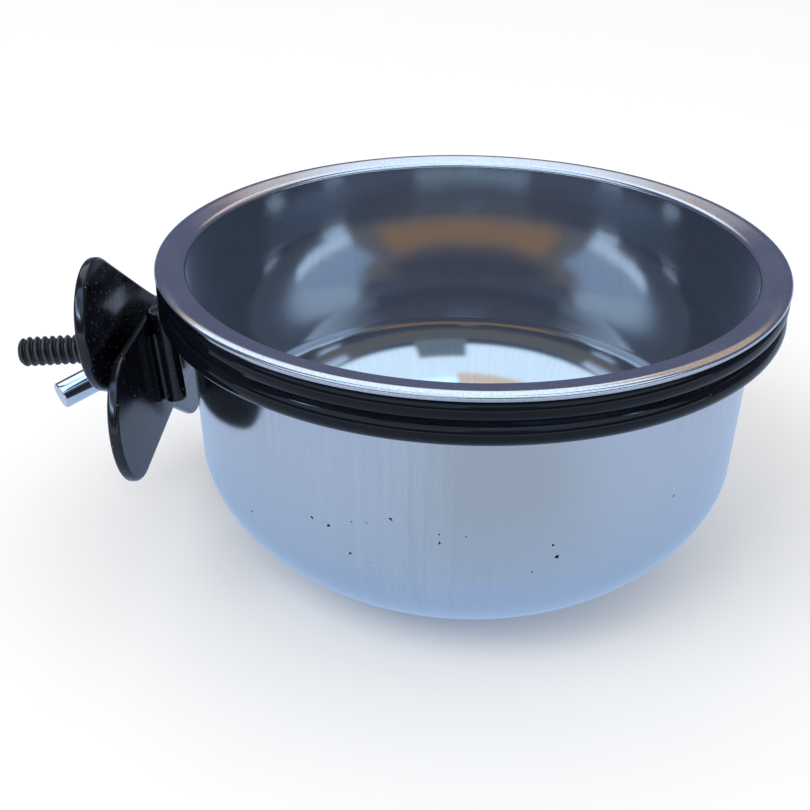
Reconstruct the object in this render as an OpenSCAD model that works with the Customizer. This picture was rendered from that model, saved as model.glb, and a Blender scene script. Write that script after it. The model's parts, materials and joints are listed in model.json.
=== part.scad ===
// Clamp-on coop cup: a stainless steel cup hangs by its rolled rim in a ring of
// two round hoops, and a screw clamp beside the ring grips the bars of a cage.
// Millimetres, +Z up. The origin is the centre of the cup's flat underside, and
// the clamp points along -X.

/* [Cup] */
// Overall diameter over the rolled rim
rim_d = 133; // [131:0.5:136]
// Height from the underside to the top of the rim
cup_h = 68; // [60:0.5:76]
// Thickness of the steel sheet
sheet_t = 0.7; // [0.5:0.1:0.9]
// Thickness of the folded rim, top to bottom
rim_t = 1.5; // [1.4:0.1:2.2]
// Slope of the rim's top down towards the mouth, in degrees
rim_dish = 10; // [0:0.5:10]
// Outside diameter of the wall just below the rim
wall_top_d = 121.7; // [120:0.1:122]
// Outside diameter of the wall where its lower corner starts
wall_low_d = 118.8; // [116:0.1:120]
// Height of the rounded lower corner
corner_h = 24.7; // [16:0.1:30]
// Diameter of the flat underside
base_d = 68; // [50:1:80]
// Fullness of the lower corner, where 2 is an ellipse
corner_power = 1.62; // [1.4:0.01:2.2]

/* [Ring] */
// Diameter of the round bar that the hoops are bent from
hoop_d = 4.6; // [4:0.1:5]
// Diameter of the hoops' centre line
hoop_ring_d = 128.2; // [127.6:0.1:128.6]

/* [Clamp] */
// Lean of the whole clamp, free end of the stud down, in degrees
clamp_lean = 4.4; // [0:0.1:5]
// Height of the stud above the cup's underside
stud_h = 43.6; // [42:0.1:45]
// Length of each clamp plate
plate_len = 95.4; // [80:0.1:100]
// Width of each clamp plate at its round ends
plate_w = 26.2; // [24:0.1:28]
// Width of each clamp plate at its waist
waist_w = 24; // [20:0.1:26]
// Thickness of each clamp plate
plate_t = 2.2; // [1.6:0.1:2.6]
// Open gap between the two clamp plates at rest
jaw_gap = 2.1; // [1:0.1:6]
// Turn of the fixed plate about the stud, -Y end up, in degrees
fixed_turn = 2; // [-5:0.5:5]
// Turn of the loose plate about the stud, -Y end up, in degrees
loose_turn = 33; // [0:1:90]

/* [Stud and nut] */
// Diameter over the stud's thread
stud_d = 6.7; // [6:0.1:7]
// Distance from the ring's outside to the stud's free end
stud_reach = 34.2; // [30:0.1:40]
// Diameter of the washer
washer_d = 14; // [12:0.5:16]
// Thickness of the washer
washer_t = 1.2; // [1:0.1:2]
// Height of the nut's hub
hub_h = 8; // [7:0.5:10]
// Diameter of the nut's hub
hub_d = 13; // [12.5:0.1:14]
// Diameter of the nut's two round arms
arm_d = 5.8; // [4.8:0.1:6]
// Distance from the stud's axis to the middle of an arm's tip
arm_reach = 15.4; // [13:0.1:17]
// Angle between an arm and the stud's axis, in degrees
arm_angle = 39; // [34:0.1:50]
// Turn of the nut about the stud, -Y arm down, in degrees
nut_turn = 15; // [0:1:180]

/* [Hidden] */

round_fn = 96;
small_fn = 48;

// Gap left between pieces that rest on each other
rest_gap = 0.04;
// Radial clearance of the plate, washer and nut on the stud
stud_clear = 0.08;

// Radius of the bend between the cup's wall and its rim, on the inside
rim_bend_r = 1.2;
// Radius where the folded edge under the rim ends
fold_end_r = 63.4;
corner_steps = 24;
corner_bow = 2 / corner_power;

// Heights of the hoops' centre lines, the upper one just under the rim
upper_hoop_z = cup_h - rim_t - rest_gap - hoop_d / 2;
lower_hoop_z = upper_hoop_z - hoop_d - 0.02;

// Weld beads between the hoops, in the crease on the cup's side
tack_d = 1.6;
tack_r = hoop_ring_d / 2 - 1.5;
tack_arc = 8;
tack_angles = [45, 135, 225, 315];

// Distances along the stud, from the ring's outside outwards
fixed_face = -0.6;
loose_face = fixed_face + plate_t + jaw_gap;
washer_face = loose_face + plate_t + rest_gap;
hub_face = washer_face + washer_t + rest_gap;

// Two upright legs under the lower hoop carry the fixed plate
leg_d = hoop_d;
leg_y = 13;
leg_low = -6.9;
leg_high = 14.5;
leg_inset = leg_d / 2 + 0.02 - fixed_face;
leg_weld_d = 1.8;
leg_weld_y = 1.9;
leg_weld_low = -5;
leg_weld_high = 9;
leg_top_weld_d = 1.8;

head_d = 12;
head_t = 3;
head_edge_t = 1.2;
tip_dome_t = 1.6;
tip_d = 4.4;

// Where each arm leaves the hub: off the stud's axis, and along it
arm_root_r = stud_d / 2 + stud_clear + 0.15 + arm_d / 2 * cos(arm_angle);
arm_tip_at = hub_face + 14.6;
arm_root_at = arm_tip_at - (arm_reach - arm_root_r) / tan(arm_angle);
arm_len = (arm_reach - arm_root_r) / sin(arm_angle);
arm_chamfer = 0.5;
hub_top_d = 10.6;
hub_round = 0.8;

// Points on an arc about [x, z], in degrees
function arc(x, z, r, from, to, steps) =
    [for (i = [0:steps]) let (a = from + (to - from) * i / steps) [x + r * cos(a), z + r * sin(a)]];

// Points down the cup's lower corner, from the wall to the flat base
function corner(wall_r, base_z) =
    [for (i = [0:corner_steps]) let (a = 90 * i / corner_steps)
        [base_d / 2 + (wall_r - base_d / 2) * pow(cos(a), corner_bow),
         base_z + (corner_h - base_z) * (1 - pow(sin(a), corner_bow))]];

// The same points in the opposite order
function reversed(points) = [for (i = [len(points) - 1:-1:0]) points[i]];

// Places its children on the stud: local -X runs out along the stud's axis
module on_stud() {
    translate([-rim_d / 2, 0, stud_h]) rotate([0, -clamp_lean, 0]) children();
}

// Turns its children about the stud, raising their -Y end
module turned(angle) {
    rotate([-angle, 0, 0]) children();
}

// A round piece along the stud, from a distance outwards
module along_stud(from) {
    translate([-from, 0, 0]) rotate([0, -90, 0]) children();
}

// Half of the cup's section, as one closed outline. The rim's top slopes from the
// edge roll down to the bend at the mouth, and the fold's underside is level.
module cup_section() {
    wall_r = wall_top_d / 2;
    low_r = wall_low_d / 2;
    edge_r = rim_t / 2;
    edge_x = rim_d / 2 - edge_r;
    edge_z = cup_h - edge_r;
    bend_x = wall_r - sheet_t + rim_bend_r;
    slope = tan(rim_dish);
    rise = (edge_x - bend_x - (edge_r - rim_bend_r) * sin(rim_dish)) * slope;
    bend_z = edge_z + (edge_r - rim_bend_r) * cos(rim_dish) - rise;
    sheet_low_z = bend_z + (rim_bend_r - sheet_t) / cos(rim_dish) + (fold_end_r - bend_x) * slope;
    polygon(concat(
        [[0, sheet_t]],
        reversed(corner(low_r - sheet_t, sheet_t)),
        arc(bend_x, bend_z, rim_bend_r, 180, 90 + rim_dish, 10),
        arc(edge_x, edge_z, edge_r, 90 + rim_dish, -90, 16),
        [[fold_end_r, cup_h - rim_t], [fold_end_r, sheet_low_z]],
        arc(bend_x, bend_z, rim_bend_r - sheet_t, 90 + rim_dish, 180, 6),
        corner(low_r, 0),
        [[0, 0]]));
}

module cup() {
    color("silver") rotate_extrude($fn = round_fn) cup_section();
}

// One hoop of round bar at a height
module hoop(z) {
    translate([0, 0, z]) rotate_extrude($fn = round_fn)
        translate([hoop_ring_d / 2, 0]) circle(d = hoop_d, $fn = small_fn);
}

module upper_hoop() {
    color("#15161c") hoop(upper_hoop_z);
}

module lower_hoop() {
    color("#15161c") hoop(lower_hoop_z);
}

// Short beads that join the hoops, hidden behind them
module hoop_welds() {
    color("#15161c") for (a = tack_angles)
        translate([0, 0, (upper_hoop_z + lower_hoop_z) / 2]) rotate([0, 0, a - tack_arc / 2])
            rotate_extrude(angle = tack_arc, $fn = round_fn)
                translate([tack_r, 0]) circle(d = tack_d, $fn = 24);
}

module saddle_legs() {
    color("#15161c") on_stud() for (side = [-1, 1])
        translate([leg_inset, side * leg_y, leg_low]) cylinder(d = leg_d, h = leg_high - leg_low, $fn = small_fn);
}

// A straight weld bead with round ends, upright
module bead(d, low, high) {
    translate([0, 0, low]) cylinder(d = d, h = high - low, $fn = 24);
    for (z = [low, high]) translate([0, 0, z]) sphere(d = d, $fn = 24);
}

// Beads down both sides of each leg, and one round the top of each leg
module saddle_welds() {
    color("#15161c") on_stud() for (side = [-1, 1]) {
        for (edge = [-1, 1])
            translate([-fixed_face + leg_weld_d / 3, side * leg_y + edge * leg_weld_y, 0])
                bead(leg_weld_d, leg_weld_low, leg_weld_high);
        translate([leg_inset, side * leg_y, leg_high - leg_top_weld_d / 2])
            rotate_extrude($fn = small_fn) translate([leg_d / 2, 0]) circle(d = leg_top_weld_d, $fn = 24);
    }
}

// Outline of a clamp plate: round ends, narrower at the waist, with the stud hole
module plate_outline() {
    end_r = plate_w / 2;
    end_x = plate_len / 2 - end_r;
    difference() {
        union() {
            for (side = [-1, 1]) translate([side * end_x, 0]) circle(r = end_r, $fn = round_fn);
            polygon([[-end_x, -end_r], [0, -waist_w / 2], [end_x, -end_r],
                     [end_x, end_r], [0, waist_w / 2], [-end_x, end_r]]);
        }
        circle(d = stud_d + 2 * stud_clear, $fn = small_fn);
    }
}

// A clamp plate with its cup-side face at a distance along the stud
module clamp_plate(face, turn) {
    on_stud() turned(turn) translate([-face, 0, 0])
        rotate([90, 0, -90]) linear_extrude(plate_t) plate_outline();
}

module fixed_plate() {
    color("#101116") clamp_plate(fixed_face, fixed_turn);
}

module loose_plate() {
    color("#101116") clamp_plate(loose_face, loose_turn);
}

// Round head inside the ring, plain shank at thread diameter, domed free end
module clamp_bolt() {
    head_from = fixed_face - head_t;
    color("#1c1d22") on_stud() along_stud(head_from) rotate_extrude($fn = round_fn) polygon([
        [0, 0], [head_d / 4, 0.2], [head_d / 2, head_t - head_edge_t], [head_d / 2, head_t - rest_gap],
        [stud_d / 2, head_t - rest_gap], [stud_d / 2, stud_reach - head_from - tip_dome_t],
        [tip_d / 2, stud_reach - head_from], [0, stud_reach - head_from]]);
}

module washer() {
    color("gainsboro") on_stud() along_stud(washer_face) difference() {
        cylinder(d = washer_d, h = washer_t, $fn = round_fn);
        translate([0, 0, -1]) cylinder(d = stud_d + 2 * stud_clear, h = washer_t + 2, $fn = small_fn);
    }
}

// The nut's body, a little narrower at its free end, bored for the stud
module nut_hub() {
    bore_r = stud_d / 2 + stud_clear;
    color("gainsboro") on_stud() along_stud(hub_face) rotate_extrude($fn = round_fn) polygon(concat(
        [[bore_r, 0], [hub_d / 2 - 0.4, 0], [hub_d / 2, 0.4]],
        arc(hub_top_d / 2 - hub_round, hub_h - hub_round, hub_round, 0, 90, 6),
        [[bore_r, hub_h]]));
}

// Two round arms let into the hub, leaning outwards, with chamfered tips
module nut_arms() {
    color("gainsboro") on_stud() turned(-nut_turn) for (side = [0, 180])
        rotate([side, 0, 0]) translate([-arm_root_at, -arm_root_r, 0]) rotate([0, 0, arm_angle])
            rotate([0, -90, 0]) rotate_extrude($fn = small_fn) polygon([
                [0, 0], [arm_d / 2, 0], [arm_d / 2, arm_len - arm_chamfer],
                [arm_d / 2 - arm_chamfer, arm_len], [0, arm_len]]);
}

cup();
upper_hoop();
lower_hoop();
hoop_welds();
saddle_legs();
saddle_welds();
fixed_plate();
clamp_bolt();
loose_plate();
washer();
nut_hub();
nut_arms();
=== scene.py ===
"""Looks of a clamp-on coop cup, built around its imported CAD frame. Blender units are metres, +Z up.

Shapes are worked out in millimetres and turned into metres as each mesh is made.
"""
import json
import math

import bmesh
import bpy
from mathutils import Matrix, Vector


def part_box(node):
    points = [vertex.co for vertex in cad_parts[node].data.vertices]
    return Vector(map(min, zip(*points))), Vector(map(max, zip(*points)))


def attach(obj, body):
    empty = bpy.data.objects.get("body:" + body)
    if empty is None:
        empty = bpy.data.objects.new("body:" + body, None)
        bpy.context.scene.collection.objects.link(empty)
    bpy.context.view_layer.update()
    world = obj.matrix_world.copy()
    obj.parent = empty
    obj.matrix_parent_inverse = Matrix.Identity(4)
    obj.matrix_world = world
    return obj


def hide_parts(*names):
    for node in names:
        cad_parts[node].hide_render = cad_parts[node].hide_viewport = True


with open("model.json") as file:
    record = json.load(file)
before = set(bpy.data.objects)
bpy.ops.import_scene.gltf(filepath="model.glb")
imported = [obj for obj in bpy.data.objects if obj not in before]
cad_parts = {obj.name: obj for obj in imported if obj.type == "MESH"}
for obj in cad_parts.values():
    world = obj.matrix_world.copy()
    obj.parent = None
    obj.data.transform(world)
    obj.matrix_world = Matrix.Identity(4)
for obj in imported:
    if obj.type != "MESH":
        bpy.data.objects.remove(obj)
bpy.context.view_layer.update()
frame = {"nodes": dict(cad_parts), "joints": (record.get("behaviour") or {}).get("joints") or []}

MM = 0.001

# ---- Sizes in millimetres -------------------------------------------------------------------

# Cup: rim radius and height come from the frame, the rest follows the pressed sheet
RIM_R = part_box("cup")[1].x / MM
CUP_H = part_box("cup")[1].z / MM
SHEET_T = 0.7
WALL_TOP_R = 60.85
WALL_LOW_R = 59.4
CORNER_H = 24.7
BASE_R = 34.0
CORNER_BOW = 2 / 1.62
RIM_T = 1.5
RIM_DISH = 10.0
RIM_BEND_R = 1.2
CROWN_R = 3.0
CROWN_END = 24.0
FOLD_END_R = 63.4

# Clamp: turns are in degrees, raising the plate's -Y end
HOOP_R = 2.3
GAP = 0.02
PLATE_LEN = 95.4
PLATE_W = 26.2
WAIST_W = 24.0
PLATE_HOLE_R = 3.43
PLATE_EDGE_R = 0.8
PLATE_HOLE_EDGE_R = 0.4
WAIST_BEND = 6.0
FIXED_TURN = 2.0
LOOSE_TURN = 33.0
LEG_Y = 13.0
LEG_LOW = -6.9
LEG_HIGH = 14.5
LEG_END_R = 0.7

# Welds: tacks join the hoops, beads run down both sides of each leg and round its top
TACK_INSET = 3.9
TACK_R = 0.8
TACK_HALF_TURN = 4.0
TACK_RIPPLES = 7
BEAD_R = 0.9
BEAD_LOW = -5.9
BEAD_HIGH = 9.9
BEAD_ASIDE = 1.9
BEAD_OFF_PLATE = 0.6
BEAD_RIPPLES = 14
RING_RIPPLES = 12
RIPPLE_DEPTH = 0.07

# Stud and nut
CREST_R = 3.35
ROOT_R = 2.62
PITCH = 1.75
TIP_R = 2.1
TIP_DOME = 1.6
HEAD_R = 6.0
HEAD_T = 3.0
HEAD_ROUND_R = 1.2
HEAD_EDGE_R = 0.3
WASHER_R = 7.0
WASHER_EDGE_R = 0.25
WASHER_FACE_R = 4.5
ARM_R = 2.9
ARM_ANGLE = 39.0
ARM_REACH = 15.4
ARM_ROOT_R = 5.83
ARM_EDGE_R = 0.45
ARM_FLARE = 0.7
ARM_FLARE_LEN = 3.5
NUT_TURN = 15.0
HUB_R = 6.5
HUB_TOP_R = 5.3
HUB_EDGE_R = 0.4
HUB_TOP_EDGE_R = 0.9
HUB_TOP_T = 1.0
BORE_SEAT_LEAD = 0.5
BORE_TOP_LEAD = 0.6

LATHE_STEPS = 384
BAR_SIDES = 40

# ---- The stud's own axes, from the joints -----------------------------------------------------

swivel = next(joint for joint in frame["joints"] if joint["name"] == "plate_swivel")
STUD_OUT = Vector(swivel["axis"]).normalized()
STUD_AT = Vector(swivel["pos_m"]) / MM
SIDE = Vector((0, 1, 0))
STUD_UP = SIDE.cross(STUD_OUT).normalized()


def stud_place(turn=0.0):
    """Matrix whose +Z runs out along the stud and whose +X is the -Y side, raised by a turn in degrees."""
    angle = math.radians(turn)
    along = STUD_UP * math.sin(angle) - SIDE * math.cos(angle)
    across = STUD_OUT.cross(along)
    place = Matrix((along, across, STUD_OUT)).transposed().to_4x4()
    place.translation = STUD_AT
    return place


def span(node):
    """Lowest and highest distance of a CAD node along the stud's axis."""
    ways = [(vertex.co / MM - STUD_AT).dot(STUD_OUT) for vertex in frame["nodes"][node].data.vertices]
    return min(ways), max(ways)


# ---- Mesh tools -------------------------------------------------------------------------------


def arc(x, z, r, start, end, steps):
    """Points on an arc about (x, z), angles in degrees."""
    angles = [math.radians(start + (end - start) * i / steps) for i in range(steps + 1)]
    return [(x + r * math.cos(a), z + r * math.sin(a)) for a in angles]


def line(start, end, steps):
    """Points between two ends, without the ends themselves."""
    return [tuple(s + (e - s) * i / steps for s, e in zip(start, end)) for i in range(1, steps)]


def skin(rings, closed=False):
    """Points and faces of the surface through rings of equal count. A ring of one point is a pole."""
    points = []
    rows = []
    for ring in rings:
        rows.append(list(range(len(points), len(points) + len(ring))))
        points.extend(Vector(point) for point in ring)
    faces = []
    pairs = list(zip(rows, rows[1:]))
    if closed:
        pairs.append((rows[-1], rows[0]))
    for low, high in pairs:
        count = max(len(low), len(high))
        for i in range(count):
            k = (i + 1) % count
            if len(low) == 1:
                faces.append((low[0], high[k], high[i]))
            elif len(high) == 1:
                faces.append((low[i], low[k], high[0]))
            else:
                faces.append((low[i], low[k], high[k], high[i]))
    return points, faces


def turned_ring(r, z, steps):
    """A ring about the Z axis, or a pole when its radius is nothing."""
    if r < 1e-6:
        return [(0, 0, z)]
    return [(r * math.cos(math.tau * i / steps), r * math.sin(math.tau * i / steps), z) for i in range(steps)]


def lathe(outline, steps=LATHE_STEPS, closed=False):
    """The surface of an outline of (radius, height) points turned about Z."""
    return skin([turned_ring(r, z, steps) for r, z in outline], closed)


def sweep(path, radii, closed=False):
    """A round section of changing radius along a path of points. Open ends close to poles."""
    rings = []
    sides = 16
    count = len(path)
    for i, (centre, r) in enumerate(zip(path, radii)):
        after = path[(i + 1) % count] if closed else path[min(i + 1, count - 1)]
        before = path[i - 1] if closed else path[max(i - 1, 0)]
        way = (after - before).normalized()
        across = way.cross(Vector((0.31, 0.17, 0.93))).normalized()
        up = way.cross(across)
        ring = []
        for k in range(sides):
            a = math.tau * k / sides
            ring.append(centre + across * (r * math.cos(a)) + up * (r * math.sin(a)))
        rings.append(ring)
    if not closed:
        rings = [[path[0]]] + rings[1:-1] + [[path[-1]]]
    return skin(rings, closed)


def placed(shell, place):
    """The same shell moved by a matrix in millimetres."""
    points, faces = shell
    return [place @ point for point in points], faces


def make_piece(name, shells, body, nodes, materials, zones=None):
    """Joins shells into one mesh piece that rides on a body and stands for CAD nodes."""
    mesh = bpy.data.meshes.new(name)
    points = []
    faces = []
    for shell_points, shell_faces in shells:
        start = len(points)
        points.extend(point * MM for point in shell_points)
        faces.extend(tuple(start + i for i in face) for face in shell_faces)
    mesh.from_pydata(points, [], faces)
    for material in materials:
        mesh.materials.append(material)
    if zones:
        mesh.polygons.foreach_set("material_index", zones)
    work = bmesh.new()
    work.from_mesh(mesh)
    bmesh.ops.recalc_face_normals(work, faces=work.faces)
    work.to_mesh(mesh)
    work.free()
    mesh.shade_smooth()
    piece = bpy.data.objects.new(name, mesh)
    bpy.context.scene.collection.objects.link(piece)
    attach(piece, body)
    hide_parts(*nodes)
    return piece


# ---- Node tools -------------------------------------------------------------------------------


class Nodes:
    """A node tree of a material or a world, with short calls for adding and joining nodes."""

    def __init__(self, owner):
        owner.use_nodes = True
        self.tree = owner.node_tree
        self.tree.nodes.clear()

    def add(self, kind, inputs=None, **settings):
        made = self.tree.nodes.new(kind)
        for key, value in settings.items():
            setattr(made, key, value)
        for key, value in (inputs or {}).items():
            self.feed(made.inputs[key], value)
        return made

    def feed(self, socket, value):
        if isinstance(value, bpy.types.NodeSocket):
            self.tree.links.new(value, socket)
        else:
            socket.default_value = value

    def math(self, operation, *values):
        return self.add("ShaderNodeMath", dict(enumerate(values)), operation=operation).outputs[0]

    def smooth(self, value, low, high):
        """0 below low, 1 above high, and a smooth step between. Works downwards too when low > high."""
        inputs = {"Value": value, "From Min": low, "From Max": high}
        return self.add("ShaderNodeMapRange", inputs, interpolation_type="SMOOTHSTEP").outputs[0]

    def fit(self, value, low, high, to_low, to_high):
        """Moves a value from one range to another in a straight line."""
        inputs = {"Value": value, "From Min": low, "From Max": high, "To Min": to_low, "To Max": to_high}
        return self.add("ShaderNodeMapRange", inputs).outputs[0]

    def mix(self, factor, first, second):
        """A colour between two colours: the first at 0, the second at 1."""
        return self.add("ShaderNodeMix", {0: factor, 6: first, 7: second}, data_type="RGBA").outputs[2]

    def noise(self, vector, scale, detail=2.0, roughness=0.5):
        inputs = {"Vector": vector, "Scale": scale, "Detail": detail, "Roughness": roughness}
        return self.add("ShaderNodeTexNoise", inputs).outputs["Fac"]

    def bump(self, height, distance, strength):
        inputs = {"Height": height, "Distance": distance, "Strength": strength}
        return self.add("ShaderNodeBump", inputs).outputs["Normal"]

    def length(self, x, y):
        """Distance of (x, y) from the middle."""
        return self.math("SQRT", self.math("ADD", self.math("MULTIPLY", x, x), self.math("MULTIPLY", y, y)))

    def object_place(self):
        return self.add("ShaderNodeTexCoord").outputs["Object"]

    def surface(self, **inputs):
        """Principled shader on the output. An input's name has underscores in place of spaces."""
        shader = self.add("ShaderNodeBsdfPrincipled", {k.replace("_", " "): v for k, v in inputs.items()})
        self.output(shader.outputs[0])
        return shader.outputs[0]

    def output(self, shader):
        found = self.tree.nodes.get("Material Output") or self.add("ShaderNodeOutputMaterial")
        self.feed(found.inputs["Surface"], shader)

    def end_deep_paths(self, shader, bounces, tint):
        """Gives rays that have already bounced many times a plain glow, a painted reflection, instead of more
        mirroring.
        """
        depth = self.add("ShaderNodeLightPath").outputs["Glossy Depth"]
        deep = self.math("GREATER_THAN", depth, bounces - 0.5)
        glow = self.add("ShaderNodeEmission", {"Color": tint})
        self.output(self.add("ShaderNodeMixShader", {0: deep, 1: shader, 2: glow.outputs[0]}).outputs[0])


def grey(value):
    return (value, value, value, 1.0)


def colour(red, green, blue):
    return (red, green, blue, 1.0)


def new_material(name):
    material = bpy.data.materials.new(name)
    return material, Nodes(material)


# ---- Materials --------------------------------------------------------------------------------


def round_place(tree, height_scale):
    """Way to a point from the Z axis with its height squeezed, for upright streaks, and its x, y and z."""
    x, y, z = tree.add("ShaderNodeSeparateXYZ", {0: tree.object_place()}).outputs
    r = tree.math("MAXIMUM", tree.length(x, y), 1e-5)
    squeezed = tree.math("MULTIPLY", z, height_scale)
    parts = {0: tree.math("DIVIDE", x, r), 1: tree.math("DIVIDE", y, r), 2: squeezed}
    return tree.add("ShaderNodeCombineXYZ", parts).outputs[0], x, y, z


def turned_tangent(tree):
    """The way of the grain round the Z axis."""
    return tree.add("ShaderNodeTangent", direction_type="RADIAL", axis="Z").outputs[0]


def pit_mask(tree, x, y, z):
    """1 in small pits: a loose cluster low on the -Y side, and a few strays further round."""
    way = tree.math("MULTIPLY", tree.math("ARCTAN2", x, tree.math("MULTIPLY", y, -1.0)), WALL_LOW_R * MM)
    flat = tree.add("ShaderNodeCombineXYZ", {0: way, 1: z}).outputs[0]
    ragged = tree.add("ShaderNodeTexNoise", {"Vector": flat, "Scale": 1400.0, "Detail": 2.0}).outputs["Color"]
    shift = {0: ragged, 1: (0.0012, 0.0012, 0)}
    ragged = tree.add("ShaderNodeVectorMath", shift, operation="MULTIPLY").outputs[0]
    flat = tree.add("ShaderNodeVectorMath", {0: flat, 1: ragged}, operation="ADD").outputs[0]
    cells = tree.add("ShaderNodeTexVoronoi", {"Vector": flat, "Scale": 230.0}, voronoi_dimensions="2D")
    pick, spread, _ = tree.add("ShaderNodeSeparateXYZ", {0: cells.outputs["Color"]}).outputs
    near = tree.math("LESS_THAN", cells.outputs["Distance"], tree.fit(spread, 0, 1, 0.025, 0.09))
    front = tree.math("MULTIPLY", tree.smooth(way, -0.032, -0.029), tree.smooth(way, 0.022, 0.019))
    chosen = tree.math("GREATER_THAN", pick, tree.fit(front, 0, 1, 0.95, 0.62))
    band = tree.math("MULTIPLY", tree.smooth(z, 0.0235, 0.0265), tree.smooth(z, 0.0385, 0.0365))
    return tree.math("MULTIPLY", tree.math("MULTIPLY", chosen, near), tree.math("GREATER_THAN", band, 0.5))


def brushed_steel():
    """Outside of the cup: fine upright brushing, broad soft streaks, and a few black pits."""
    material, tree = new_material("steel_brushed")
    around, x, y, z = round_place(tree, 0.35)
    fine = tree.noise(around, 620.0, 5.0, 0.65)
    broad = tree.noise(around, 45.0, 3.0, 0.6)
    patch = tree.noise(tree.object_place(), 22.0, 2.0)
    streak = tree.math("ADD", tree.math("MULTIPLY", fine, 0.6), tree.math("MULTIPLY", broad, 0.4))
    tint = tree.mix(tree.smooth(streak, 0.38, 0.62), colour(0.58, 0.60, 0.62), colour(0.665, 0.685, 0.705))
    tint = tree.mix(tree.smooth(patch, 0.3, 0.7), tint, colour(0.625, 0.645, 0.67))
    pits = pit_mask(tree, x, y, z)
    tint = tree.mix(pits, tint, grey(0.012))
    rough = tree.math("ADD", tree.fit(fine, 0.3, 0.7, 0.11, 0.17), tree.math("MULTIPLY", pits, 0.4))
    height = tree.math("SUBTRACT", fine, tree.math("MULTIPLY", pits, 4.0))
    normal = tree.bump(height, 0.00001, 0.4)
    tree.surface(Base_Color=tint, Metallic=1.0, Roughness=rough, Normal=normal, Anisotropic=0.4,
                 Tangent=turned_tangent(tree))
    return material


def satin_steel():
    """Inside of the cup: soft bright satin with faint rings from spinning and faint upright draw marks."""
    material, tree = new_material("steel_satin")
    around, _, _, z = round_place(tree, 0.5)
    draw = tree.noise(around, 160.0, 4.0, 0.6)
    rings = tree.add("ShaderNodeCombineXYZ", {2: z}).outputs[0]
    spun = tree.noise(rings, 320.0, 3.0, 0.6)
    tint = tree.mix(tree.smooth(draw, 0.35, 0.65), colour(0.615, 0.63, 0.645), colour(0.66, 0.67, 0.68))
    rough = tree.fit(spun, 0.3, 0.7, 0.07, 0.10)
    normal = tree.bump(tree.noise(tree.object_place(), 55.0, 2.0), 0.0002, 0.25)
    steel = tree.surface(Base_Color=tint, Metallic=1.0, Roughness=rough, Normal=normal, Anisotropic=0.6,
                         Anisotropic_Rotation=0.25, Tangent=turned_tangent(tree))
    tree.end_deep_paths(steel, 4, DEEPEST_PAINTED_GLOW)
    return material


def rim_steel():
    """The rim: polished sheet with a little grain on its flat."""
    material, tree = new_material("steel_rim")
    place = tree.object_place()
    grain = tree.noise(place, 2600.0, 2.0, 0.6)
    cloud = tree.noise(place, 60.0, 3.0)
    tint = tree.mix(tree.smooth(grain, 0.35, 0.65), colour(0.56, 0.56, 0.59), colour(0.66, 0.66, 0.69))
    rough = tree.fit(cloud, 0.3, 0.7, 0.11, 0.2)
    normal = tree.bump(grain, 0.00001, 0.25)
    tree.surface(Base_Color=tint, Metallic=1.0, Roughness=rough, Normal=normal)
    return material


def hoop_coat():
    """Smooth gloss black coat of the round bars, with a speck of dust here and there."""
    material, tree = new_material("coat_smooth")
    place = tree.object_place()
    dust = tree.smooth(tree.noise(place, 1700.0, 1.0), 0.80, 0.83)
    tint = tree.mix(dust, colour(0.0035, 0.004, 0.007), grey(0.2))
    wave = tree.noise(place, 160.0, 1.0)
    rough = tree.math("ADD", tree.fit(tree.noise(place, 70.0, 3.0), 0.3, 0.7, 0.035, 0.08), dust)
    height = tree.math("ADD", wave, tree.math("MULTIPLY", dust, 2.0))
    normal = tree.bump(height, 0.00005, 0.4)
    tree.surface(Base_Color=tint, Roughness=rough, Normal=normal, Specular_IOR_Level=0.24)
    return material


def plate_coat():
    """Gloss black powder coat of the plates and legs: orange peel and fine bright nibs."""
    material, tree = new_material("coat_plate")
    place = tree.object_place()
    peel = tree.noise(place, 520.0)
    nibs = tree.smooth(tree.noise(place, 1900.0, 1.0), 0.70, 0.76)
    dust = tree.smooth(tree.noise(place, 2300.0, 0.0), 0.815, 0.835)
    tint = tree.mix(dust, colour(0.0035, 0.004, 0.0075), grey(0.25))
    rough = tree.math("ADD", tree.fit(tree.noise(place, 90.0, 3.0), 0.3, 0.7, 0.12, 0.19), dust)
    height = tree.math("ADD", peel, tree.math("MULTIPLY", nibs, 0.9))
    tree.surface(Base_Color=tint, Roughness=rough, Normal=tree.bump(height, 0.00005, 0.5), IOR=1.5)
    return material


def black_thread():
    """Black coat on the stud, lighter grey-brown along the thread's crests: partly wear, partly a painted
    highlight.
    """
    material, tree = new_material("thread_black")
    place = tree.object_place()
    crest = tree.add("ShaderNodeAttribute", attribute_name="crest").outputs["Fac"]
    crest_patches = tree.smooth(tree.noise(place, 500.0, 3.0), 0.3, 0.6)
    # Lighter crests: partly rubbed wear, partly a painted highlight where the crests catch the light.
    crest_wear_and_highlight = tree.math("MULTIPLY", tree.smooth(crest, 0.55, 1.0), crest_patches)
    tint = tree.mix(crest_wear_and_highlight, colour(0.007, 0.008, 0.012), colour(0.05, 0.044, 0.045))
    rough = tree.fit(tree.noise(place, 900.0, 3.0), 0.3, 0.7, 0.28, 0.42)
    normal = tree.bump(tree.noise(place, 2200.0, 3.0), 0.00003, 0.5)
    tree.surface(Base_Color=tint, Roughness=rough, Normal=normal)
    return material


def chrome():
    """Bright plate with faint polishing marks."""
    material, tree = new_material("plate_chrome")
    place = tree.object_place()
    marks = tree.noise(place, 1500.0, 3.0)
    cloud = tree.noise(place, 180.0, 2.0)
    tint = tree.mix(cloud, colour(0.70, 0.71, 0.74), colour(0.80, 0.81, 0.84))
    rough = tree.fit(marks, 0.3, 0.7, 0.05, 0.11)
    tree.surface(Base_Color=tint, Metallic=1.0, Roughness=rough, Normal=tree.bump(cloud, 0.00005, 0.3))
    return material


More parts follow.
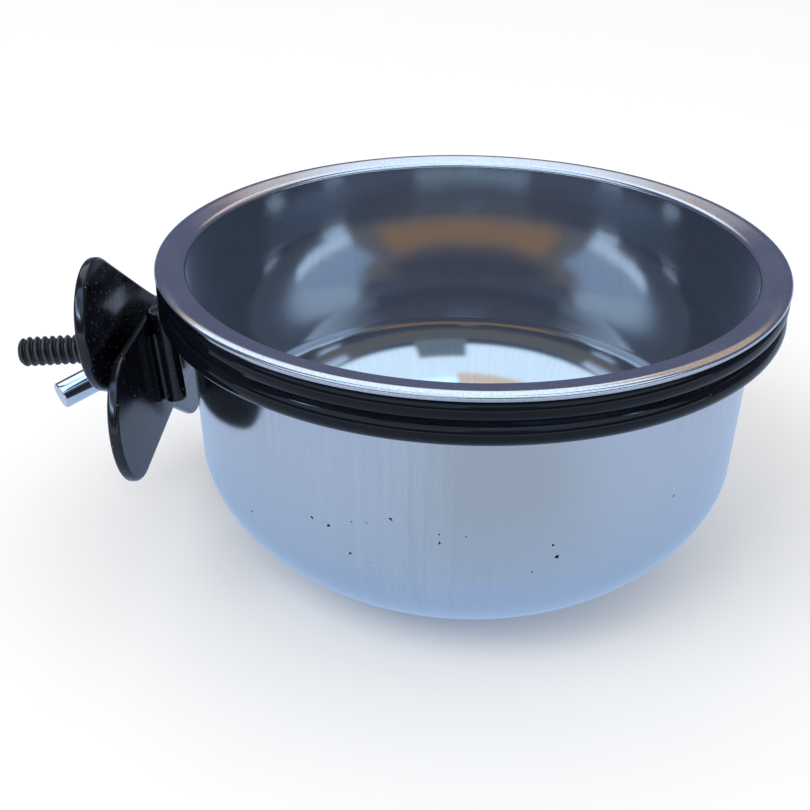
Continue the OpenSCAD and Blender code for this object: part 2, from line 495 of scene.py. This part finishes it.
def zinc():
    """Duller plate of the stamped washer."""
    material, tree = new_material("plate_zinc")
    place = tree.object_place()
    spots = tree.noise(place, 700.0, 4.0, 0.6)
    tint = tree.mix(tree.smooth(spots, 0.35, 0.65), colour(0.50, 0.51, 0.53), colour(0.66, 0.67, 0.69))
    rough = tree.fit(spots, 0.3, 0.7, 0.24, 0.38)
    tree.surface(Base_Color=tint, Metallic=1.0, Roughness=rough, Normal=tree.bump(spots, 0.00003, 0.4))
    return material


# ---- Cup --------------------------------------------------------------------------------------

OUTSIDE, INSIDE, RIM = 0, 1, 2


def corner(wall_r, base_z, steps=44):
    """Points down the lower corner, from the wall to the flat base."""
    found = []
    for i in range(steps + 1):
        a = math.pi / 2 * i / steps
        r = BASE_R + (wall_r - BASE_R) * max(math.cos(a), 0.0) ** CORNER_BOW
        z = base_z + (CORNER_H - base_z) * (1 - math.sin(a) ** CORNER_BOW)
        found.append((r, z))
    return found


def rim_top():
    """Top of the rim, from the mouth outwards: bend, sloping flat, crown and edge roll down to the fold."""
    edge_r = RIM_T / 2
    dish = math.radians(RIM_DISH)
    end = math.radians(CROWN_END)
    roll_x = RIM_R - edge_r
    roll_z = CUP_H - edge_r
    crown_x = roll_x - (CROWN_R - edge_r) * math.sin(end)
    crown_z = roll_z - (CROWN_R - edge_r) * math.cos(end)
    over = crown_z + CROWN_R - CUP_H
    crown_z -= over
    roll_z -= over
    flat_end = (crown_x - CROWN_R * math.sin(dish), crown_z + CROWN_R * math.cos(dish))
    bend_x = WALL_TOP_R - SHEET_T + RIM_BEND_R
    run = flat_end[0] - (bend_x - RIM_BEND_R * math.sin(dish))
    bend_z = flat_end[1] - run * math.tan(dish) - RIM_BEND_R * math.cos(dish)
    bend = arc(bend_x, bend_z, RIM_BEND_R, 180, 90 + RIM_DISH, 16)
    crown = arc(crown_x, crown_z, CROWN_R, 90 + RIM_DISH, 90 - CROWN_END, 12)
    roll = arc(roll_x, roll_z, edge_r, 90 - CROWN_END, -90, 22)[1:]
    under = arc(bend_x, bend_z, RIM_BEND_R - SHEET_T, 90 + RIM_DISH, 180, 8)
    return bend + line(bend[-1], crown[0], 8) + crown + roll, under


def cup_outline():
    """Half outline of the cup from the middle of its inside to the middle of its underside, and its zones."""
    top, under = rim_top()
    inner = [(0, SHEET_T)] + line((0, SHEET_T), (BASE_R, SHEET_T), 10)
    inner += corner(WALL_LOW_R - SHEET_T, SHEET_T)[::-1]
    inner += line(inner[-1], top[0], 12)
    fold = [(FOLD_END_R, top[-1][1]), (FOLD_END_R, under[0][1] + 0.25)]
    outer = fold + under
    outer += line(under[-1], (WALL_LOW_R, CORNER_H), 14)
    outer += corner(WALL_LOW_R, 0) + line((BASE_R, 0), (0, 0), 8) + [(0, 0)]
    points = inner + top + outer
    zones = [INSIDE] * len(inner) + [RIM] * (len(top) - 1) + [OUTSIDE] * len(outer)
    return points, zones


def build_cup():
    outline, bands = cup_outline()
    zones = [band for band in bands[: len(outline) - 1] for _ in range(LATHE_STEPS)]
    materials = [brushed_steel(), satin_steel(), rim_steel()]
    return make_piece("cup_shell", [lathe(outline)], "cup", ["cup"], materials, zones)


# ---- Ring holder ------------------------------------------------------------------------------


def hoop_shell(node):
    """A hoop of round bar at its CAD node's place."""
    low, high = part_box(node)
    middle = (low.z + high.z) / 2 / MM
    ring_r = high.x / MM - HOOP_R
    return lathe(arc(ring_r, middle, HOOP_R, 0, 360, BAR_SIDES)[:-1], closed=True)


def ripple_radii(count, r, ripples, fade=3):
    """Radii along a weld bead: the bead's ripples, closing to a round end over the first and last few."""
    radii = []
    for i in range(count):
        ends = min(i, count - 1 - i) / fade
        close = math.sqrt(max(0.0, 1 - (1 - min(ends, 1.0)) ** 2))
        radii.append(r * close * ripple(ripples * i / count))
    return radii


def ripple(turns):
    """Share of a bead's full radius at a point counted in ripples."""
    return 1 - RIPPLE_DEPTH + RIPPLE_DEPTH * math.cos(math.tau * turns)


def tack_shell(angle):
    """A short bead in the crease between the hoops, on the cup's side."""
    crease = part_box("lower_hoop")[1].z / MM + GAP / 2
    tack_r = RIM_R - TACK_INSET
    steps = 36
    path = []
    for i in range(steps + 1):
        a = math.radians(angle + TACK_HALF_TURN * (2 * i / steps - 1))
        path.append(Vector((tack_r * math.cos(a), tack_r * math.sin(a), crease)))
    return sweep(path, ripple_radii(steps + 1, TACK_R, TACK_RIPPLES))


def leg_outline(low, high):
    """Half outline of a cut bar with rounded ends."""
    top = arc(HOOP_R - LEG_END_R, high - LEG_END_R, LEG_END_R, 90, 0, 6)
    foot = arc(HOOP_R - LEG_END_R, low + LEG_END_R, LEG_END_R, 0, -90, 6)
    return [(0, high)] + top + line(top[-1], foot[0], 10) + foot + [(0, low)]


def upright_place(side, inset):
    """Matrix of an upright bar behind the fixed plate: local +Z is up, at right angles to the stud."""
    place = Matrix((SIDE.cross(STUD_UP), SIDE, STUD_UP)).transposed().to_4x4()
    place.translation = STUD_AT - STUD_OUT * inset + SIDE * side
    return place


def side_bead(y, plate_face):
    """A bead down the corner between a leg and the plate."""
    place = upright_place(y, BEAD_OFF_PLATE - plate_face)
    steps = 60
    run = BEAD_HIGH - BEAD_LOW
    path = [place @ Vector((0, 0, BEAD_LOW + run * i / steps)) for i in range(steps + 1)]
    return sweep(path, ripple_radii(steps + 1, BEAD_R, BEAD_RIPPLES))


def top_bead(place):
    """A bead round the top of a leg, where it meets the lower hoop."""
    steps = 60
    height = LEG_HIGH - BEAD_R
    ring = [place @ Vector(point) for point in turned_ring(HOOP_R, height, steps)]
    radii = [BEAD_R * ripple(RING_RIPPLES * i / steps) for i in range(steps)]
    return sweep(ring, radii, closed=True)


def build_holder(smooth_coat, coat):
    for node, name in (("upper_hoop", "hoop_upper_bar"), ("lower_hoop", "hoop_lower_bar")):
        make_piece(name, [hoop_shell(node)], "holder", [node], [smooth_coat])
    tacks = [tack_shell(angle) for angle in (45, 135, 225, 315)]
    make_piece("hoop_tacks", tacks, "holder", ["hoop_welds"], [smooth_coat])
    plate_face = span("fixed_plate")[0]
    legs = []
    beads = []
    for y in (-LEG_Y, LEG_Y):
        place = upright_place(y, HOOP_R + GAP - plate_face)
        legs.append(placed(lathe(leg_outline(LEG_LOW, LEG_HIGH), 64), place))
        beads += [side_bead(y + aside, plate_face) for aside in (-BEAD_ASIDE, BEAD_ASIDE)]
        beads.append(top_bead(place))
    make_piece("saddle_bars", legs, "holder", ["saddle_legs"], [coat])
    make_piece("saddle_beads", beads, "holder", ["saddle_welds"], [coat])


# ---- Clamp plates -----------------------------------------------------------------------------


def plate_edge(arc_steps=40, side_steps=24):
    """Points and outward directions round a clamp plate: round ends and sides that draw in to a waist."""
    end_r = PLATE_W / 2
    end_x = PLATE_LEN / 2 - end_r
    waist = WAIST_W / 2
    reach = math.hypot(end_x, WAIST_BEND) - WAIST_BEND
    found = []
    for side in (1, -1):
        for i in range(arc_steps):
            a = math.radians(-90 + 180 * i / arc_steps)
            way = Vector((math.cos(a), math.sin(a), 0)) * side
            found.append((Vector((side * end_x, 0, 0)) + way * end_r, way))
        for i in range(side_steps):
            x = end_x * (1 - 2 * i / side_steps)
            half = waist + (end_r - waist) * (math.hypot(x, WAIST_BEND) - WAIST_BEND) / reach
            slope = (end_r - waist) * x / math.hypot(x, WAIST_BEND) / reach
            way = Vector((-slope, 1, 0)).normalized() * side
            found.append((Vector((x, half, 0)) * side, way))
    return found


def plate_shell(low, high):
    """A clamp plate between two distances along the stud, with rounded edges and a rounded stud hole."""
    edge = plate_edge()
    rings = []
    for inset, z in plate_profile(low, high, PLATE_EDGE_R):
        rings.append([point - way * inset + Vector((0, 0, z)) for point, way in edge])
    for inset, z in reversed(plate_profile(low, high, PLATE_HOLE_EDGE_R)):
        ring = []
        for point, _ in edge:
            way = Vector((point.x, point.y, 0)).normalized()
            ring.append(way * (PLATE_HOLE_R + inset) + Vector((0, 0, z)))
        rings.append(ring)
    return skin(rings, closed=True)


def plate_profile(low, high, r, steps=8):
    """(inset, height) pairs round a rounded edge from face to face. The end ones hold the faces flat."""
    hold = 0.12
    foot = arc(r, low + r, r, 270, 180, steps)
    head = arc(r, high - r, r, 180, 90, steps)
    return [(r + hold, low)] + foot + head + [(r + hold, high)]


def build_plates(coat):
    for node, name, body, turn in (
        ("fixed_plate", "jaw_plate_fixed", "holder", FIXED_TURN),
        ("loose_plate", "jaw_plate_loose", "loose_plate", LOOSE_TURN),
    ):
        shell = placed(plate_shell(*span(node)), stud_place(turn))
        make_piece(name, [shell], body, [node], [coat])


# ---- Stud, washer and nut ---------------------------------------------------------------------


def thread_radius(phase):
    """Radius of the rounded thread at a share of its pitch."""
    return ROOT_R + (CREST_R - ROOT_R) * (0.5 + 0.5 * math.cos(math.tau * phase)) ** 0.8


def stud_rings(start, end, sides):
    """Rings of a right-hand thread that ends in a dome, and how near to the crest each point is, 0 to 1."""
    rows_per_pitch = 16
    rows = int((end - start) / PITCH * rows_per_pitch)
    rings = []
    share = []
    for row in range(rows + 1):
        z = start + (end - start) * row / rows
        left = max(0.0, (end - z) / TIP_DOME)
        limit = TIP_R + (CREST_R - TIP_R) * math.sqrt(max(0.0, 1 - (1 - min(left, 1.0)) ** 2))
        ring = []
        for i in range(sides):
            a = math.tau * i / sides
            r = min(thread_radius(z / PITCH - i / sides), limit)
            ring.append((r * math.cos(a), r * math.sin(a), z))
            share.append((r - ROOT_R) / (CREST_R - ROOT_R))
        rings.append(ring)
    return rings, share


def build_stud(material):
    low, high = span("clamp_bolt")
    neck = low + HEAD_T
    sides = 56
    seat = neck - 2 * GAP
    head = [(0, low), (HEAD_R * 0.4, low + 0.1)]
    head += arc(HEAD_R - HEAD_ROUND_R, low + HEAD_T / 2, HEAD_ROUND_R, -70, 0, 8)
    head += arc(HEAD_R - HEAD_EDGE_R, seat - HEAD_EDGE_R, HEAD_EDGE_R, 0, 90, 4) + [(CREST_R, seat)]
    head_rings = [turned_ring(r, z, sides) for r, z in head]
    rings, share = stud_rings(neck, high - GAP, sides)
    tip = [turned_ring(TIP_R * 0.8, high, sides), turned_ring(0, high, sides)]
    shell = placed(skin(head_rings + rings + tip), stud_place())
    piece = make_piece("clamp_stud", [shell], "holder", ["clamp_bolt"], [material])
    crest = piece.data.attributes.new("crest", "FLOAT", "POINT")
    before = sum(len(ring) for ring in head_rings)
    values = [0.3] * before + share
    values += [0.6] * (len(piece.data.vertices) - len(values))
    crest.data.foreach_set("value", values)


def build_washer(material):
    low, high = span("washer")
    edge = WASHER_EDGE_R
    outer = WASHER_R - edge
    inner = PLATE_HOLE_R + edge
    outline = arc(outer, low + edge, edge, -90, 0, 4) + arc(outer, high - edge, edge, 0, 90, 4)
    outline += [(WASHER_FACE_R, high), (inner, high)] + arc(inner, high - edge, edge, 90, 180, 4)
    outline += arc(inner, low + edge, edge, 180, 270, 4) + [(WASHER_FACE_R, low)]
    shell = placed(lathe(outline, 96, closed=True), stud_place())
    make_piece("flat_washer", [shell], "washer", ["washer"], [material])


def hub_outline(low, high):
    """Half outline of the nut's body: a seat flange, a waist and a rounded top round the bore."""
    bore = PLATE_HOLE_R
    outline = [(bore + BORE_SEAT_LEAD, low), (HUB_R - 1.5 * HUB_EDGE_R, low)]
    outline += arc(HUB_R - HUB_EDGE_R, low + HUB_EDGE_R, HUB_EDGE_R, -90, 20, 6)
    outline += line(outline[-1], (HUB_TOP_R, high - HUB_TOP_T), 8)
    outline += arc(HUB_TOP_R - HUB_TOP_EDGE_R, high - HUB_TOP_EDGE_R, HUB_TOP_EDGE_R, 10, 90, 8)
    lead = [(bore + BORE_TOP_LEAD, high), (bore, high - BORE_TOP_LEAD), (bore, low + BORE_SEAT_LEAD)]
    return outline + lead


def arm_outline(length):
    """Half outline of a round arm: flared where it leaves the hub, flat-ended with a softened edge."""
    outline = [(0, 0)]
    steps = 10
    for i in range(steps + 1):
        way = ARM_FLARE_LEN * i / steps
        outline.append((ARM_R + ARM_FLARE * (1 - i / steps) ** 2, way))
    edge = arc(ARM_R - ARM_EDGE_R, length - ARM_EDGE_R, ARM_EDGE_R, 0, 90, 6)
    outline += line(outline[-1], edge[0], 8) + edge
    return outline + [(ARM_R - ARM_EDGE_R - 0.1, length), (0, length)]


def arm_place(side, root_at):
    """Matrix of an arm: local +Z runs from its root out to its tip."""
    out = Vector((side * math.sin(math.radians(ARM_ANGLE)), 0, math.cos(math.radians(ARM_ANGLE))))
    across = Vector((0, 1, 0))
    place = Matrix((across.cross(out), across, out)).transposed().to_4x4()
    place.translation = Vector((side * ARM_ROOT_R, 0, root_at))
    return stud_place(-NUT_TURN) @ place


def build_nut(material):
    hub = placed(lathe(hub_outline(*span("nut_hub")), 128, closed=True), stud_place())
    make_piece("wing_nut_hub", [hub], "wing_nut", ["nut_hub"], [material])
    angle = math.radians(ARM_ANGLE)
    tip_at = span("nut_arms")[1] - (ARM_R - 0.5) * math.sin(angle)
    root_at = tip_at - (ARM_REACH - ARM_ROOT_R) / math.tan(angle)
    length = (ARM_REACH - ARM_ROOT_R) / math.sin(angle)
    arms = [placed(lathe(arm_outline(length), 64), arm_place(side, root_at)) for side in (1, -1)]
    make_piece("wing_nut_arms", arms, "wing_nut", ["nut_arms"], [material])


# ---- Stage, light and camera ------------------------------------------------------------------

# What polished parts mirror, after one bounce, after two, and after more. Each is a plain colour with
# soft panels over it: the heading a panel is centred on, in degrees from +Y towards +X, its half
# width, its lowest and highest elevation, how soft its edges are, and its colour.
FIRST = (
    colour(0.13, 0.15, 0.245),
    (
        (180, 85, 46, 91, 3, colour(1.1, 1.75, 3.0)),
        (0, 50, 34.5, 91, 1.5, colour(1.25, 1.5, 1.75)),
        (0, 50, 30.5, 34, 1.0, colour(0.78, 0.60, 0.48)),
        (44, 26, 30, 52, 3, colour(0.66, 0.52, 0.42)),
        (180, 85, 28, 60, 3, colour(0.92, 1.2, 1.48)),
        (205, 30, 56, 66, 2, colour(0.85, 0.72, 0.62)),
        (180, 85, 9, 27, 2, colour(0.05, 0.08, 0.14)),
        (168, 13, 20, 41, 2, colour(0.18, 0.25, 0.33)),
        (180, 85, -2, 9, 1.5, colour(1.1, 1.15, 1.25)),
    ),
)
SECOND = (
    colour(0.22, 0.23, 0.27),
    (
        (0, 86, 33, 64, 4, colour(0.44, 0.29, 0.20)),
        (180, 68, 24, 40, 3, colour(0.86, 1.12, 1.50)),
        (180, 68, 41, 62, 3, colour(0.40, 0.56, 0.84)),
        (0, 181, 70, 91, 4, colour(0.10, 0.12, 0.18)),
    ),
)
LATER = (
    colour(0.22, 0.30, 0.46),
    (
        (0, 181, 58, 91, 6, colour(0.17, 0.20, 0.29)),
        (180, 80, 42, 64, 6, colour(0.74, 0.98, 1.32)),
        (180, 162, -20, 36, 6, colour(0.17, 0.21, 0.30)),
        (0, 14, 14, 32, 5, colour(1.2, 1.55, 2.0)),
    ),
)
# Colour of the painted glow that stands in for reflections after many bounces inside the cup.
DEEPEST_PAINTED_GLOW = colour(0.16, 0.21, 0.31)
# Colours of the floor's painted glow, which polished parts mirror in place of the floor's lit look.
FLOOR_PAINTED_GLOW = colour(0.53, 0.65, 0.87)
# Darker and greyer glow in front of the cup: painted soft shade.
FLOOR_FRONT_PAINTED_SHADE = colour(0.455, 0.545, 0.67)
FLOOR_NEAR_PAINTED_GLOW = colour(0.41, 0.57, 0.84)


def world_light():
    """Even pale light all round, with the soft panels showing only in polished surfaces."""
    world = bpy.data.worlds.new("studio")
    bpy.context.scene.world = world
    tree = Nodes(world)
    way = tree.add("ShaderNodeTexCoord").outputs["Generated"]
    x, y, z = tree.add("ShaderNodeSeparateXYZ", {0: way}).outputs
    flat = tree.add("ShaderNodeCombineXYZ", {0: x, 1: y}).outputs[0]
    flat = tree.add("ShaderNodeVectorMath", {0: flat}, operation="NORMALIZE").outputs[0]
    path = tree.add("ShaderNodeLightPath").outputs
    shown = mirrored(tree, flat, z, FIRST)
    for bounces, surroundings in ((2, SECOND), (3, LATER)):
        reached = tree.math("GREATER_THAN", path["Glossy Depth"], bounces - 0.5)
        shown = tree.mix(reached, shown, mirrored(tree, flat, z, surroundings))
    polished = tree.add("ShaderNodeBackground", {"Color": shown}).outputs[0]
    plain = tree.add("ShaderNodeBackground", {"Color": grey(1.0)}).outputs[0]
    both = tree.add("ShaderNodeMixShader", {0: path["Is Glossy Ray"], 1: plain, 2: polished})
    tree.add("ShaderNodeOutputWorld", {"Surface": both.outputs[0]})
    world.cycles.sampling_method = "NONE"


def mirrored(tree, flat, z, surroundings):
    """Colour of the surroundings in a direction."""
    shown, panels = surroundings
    for heading, half, low, high, soft, tint in panels:
        shown = tree.mix(panel_mask(tree, flat, z, heading, half, low, high, soft), shown, tint)
    return shown


def panel_mask(tree, flat, z, heading, half, low, high, soft):
    """1 inside a soft-edged panel of the surroundings."""
    middle = (sin_deg(heading), cos_deg(heading), 0)
    towards = tree.add("ShaderNodeVectorMath", {0: flat, 1: middle}, operation="DOT_PRODUCT")
    across = 1.0
    if half < 180:
        across = tree.smooth(towards.outputs["Value"], cos_deg(half + soft), cos_deg(max(half - soft, 0)))
    above = tree.smooth(z, sin_deg(low - soft), sin_deg(low + soft))
    if high > 90:
        return tree.math("MULTIPLY", across, above)
    below = tree.smooth(z, sin_deg(high + soft), sin_deg(high - soft))
    return tree.math("MULTIPLY", across, tree.math("MULTIPLY", above, below))


def sin_deg(angle):
    return math.sin(math.radians(angle))


def cos_deg(angle):
    return math.cos(math.radians(angle))


def floor_painted_glow(tree):
    """Painted glow of the floor in polished surfaces: bluer close to the cup, and darker and greyer in front
    of it, which is painted shade.
    """
    x, y, _ = tree.add("ShaderNodeSeparateXYZ", {0: tree.object_place()}).outputs
    aside = tree.math("ABSOLUTE", tree.math("SUBTRACT", x, 0.022))
    # Mask of the front patch of painted shade.
    front = tree.math("MULTIPLY", tree.smooth(aside, 0.085, 0.015), tree.smooth(y, -0.05, -0.115))
    shown = tree.mix(front, FLOOR_PAINTED_GLOW, FLOOR_FRONT_PAINTED_SHADE)
    return tree.mix(tree.smooth(tree.length(x, y), 0.125, 0.045), shown, FLOOR_NEAR_PAINTED_GLOW)


def build_floor():
    """A plain pale floor. Polished parts mirror a soft painted glow in its place instead of its lit look."""
    work = bmesh.new()
    bmesh.ops.create_circle(work, cap_ends=True, segments=128, radius=6.0)
    mesh = bpy.data.meshes.new("floor")
    work.to_mesh(mesh)
    work.free()
    floor = bpy.data.objects.new("floor", mesh)
    bpy.context.scene.collection.objects.link(floor)
    material, tree = new_material("floor_pale")
    speck = tree.noise(tree.object_place(), 40.0, 2.0)
    paint = tree.mix(speck, grey(0.885), grey(0.9))
    matte = tree.add("ShaderNodeBsdfDiffuse", {"Color": paint})
    glow = tree.add("ShaderNodeEmission", {"Color": floor_painted_glow(tree)})
    glossy = tree.add("ShaderNodeLightPath").outputs["Is Glossy Ray"]
    both = tree.add("ShaderNodeMixShader", {0: glossy, 1: matte.outputs[0], 2: glow.outputs[0]})
    tree.add("ShaderNodeOutputMaterial", {"Surface": both.outputs[0]})
    material.cycles.emission_sampling = "NONE"
    mesh.materials.append(material)


def soft_light(name, place, target, size, watts):
    """A large soft light aimed at the object. It lights the floor and isn't mirrored."""
    light = bpy.data.lights.new(name, "AREA")
    light.size = size
    light.energy = watts
    lamp = bpy.data.objects.new(name, light)
    lamp.location = place
    lamp.rotation_euler = (Vector(target) - Vector(place)).to_track_quat("-Z", "Y").to_euler()
    lamp.visible_glossy = False
    bpy.context.scene.collection.objects.link(lamp)


def strip_light(name, place, length, width, watts, tint, pieces):
    """A long light a metre away that draws a bright line along some dark pieces, and lights nothing else."""
    light = bpy.data.lights.new(name, "AREA")
    light.shape = "RECTANGLE"
    light.size = length
    light.size_y = width
    light.energy = watts
    light.color = tint
    light.use_shadow = False
    heading, elevation = place
    lamp = bpy.data.objects.new(name, light)
    level = Vector((sin_deg(heading), cos_deg(heading), 0)) * cos_deg(elevation)
    lamp.location = level + Vector((0, 0, sin_deg(elevation)))
    lamp.rotation_euler = (-lamp.location).to_track_quat("-Z", "Y").to_euler()
    lamp.visible_diffuse = False
    lit = bpy.data.collections.new(name)
    for piece in pieces:
        lit.objects.link(bpy.data.objects[piece])
    lamp.light_linking.receiver_collection = lit
    bpy.context.scene.collection.objects.link(lamp)


# Camera: the view looks along +Y and down on the cup, from a little to the clamp's side
CAMERA_TARGET = Vector((-0.01376, -0.00038, 0.02943))
CAMERA_DISTANCE = 0.2745
CAMERA_AZIMUTH = 1.56
CAMERA_ELEVATION = 28.9
CAMERA_ROLL = 0.36
CAMERA_LENS = 53.33
SENSOR_WIDTH = 36.0


def build_camera():
    """The camera, aimed at its target and rolled a little, as the scene's own."""
    camera = bpy.data.cameras.new("camera")
    camera.lens = CAMERA_LENS
    camera.sensor_width = SENSOR_WIDTH
    camera.clip_start = 0.01
    holder = bpy.data.objects.new("camera", camera)
    bpy.context.scene.collection.objects.link(holder)
    level = Vector((sin_deg(CAMERA_AZIMUTH), -cos_deg(CAMERA_AZIMUTH), 0))
    back = level * cos_deg(CAMERA_ELEVATION) + Vector((0, 0, sin_deg(CAMERA_ELEVATION)))
    look = (-back).to_track_quat("-Z", "Y").to_matrix().to_4x4()
    roll = Matrix.Rotation(math.radians(CAMERA_ROLL), 4, "Z")
    holder.matrix_world = Matrix.Translation(CAMERA_TARGET + back * CAMERA_DISTANCE) @ look @ roll
    bpy.context.scene.camera = holder


# ---- Build ------------------------------------------------------------------------------------

coat = plate_coat()
build_cup()
build_holder(hoop_coat(), coat)
build_plates(coat)
build_stud(black_thread())
build_washer(zinc())
build_nut(chrome())

world_light()
build_floor()
strip_light("strip_sky", (0, 75), 1.6, 0.9, 170.0, (0.36, 0.54, 1.0), ("hoop_lower_bar",))
plates = ("jaw_plate_fixed", "jaw_plate_loose")
strip_light("strip_side", (-128, 40), 1.1, 0.07, 5.0, (0.42, 0.6, 1.0), plates)
soft_light("key", (-0.5, -0.5, 0.9), (0, 0, 0.03), 0.6, 4.0)
build_camera()
bpy.context.scene.view_settings.view_transform = "Standard"
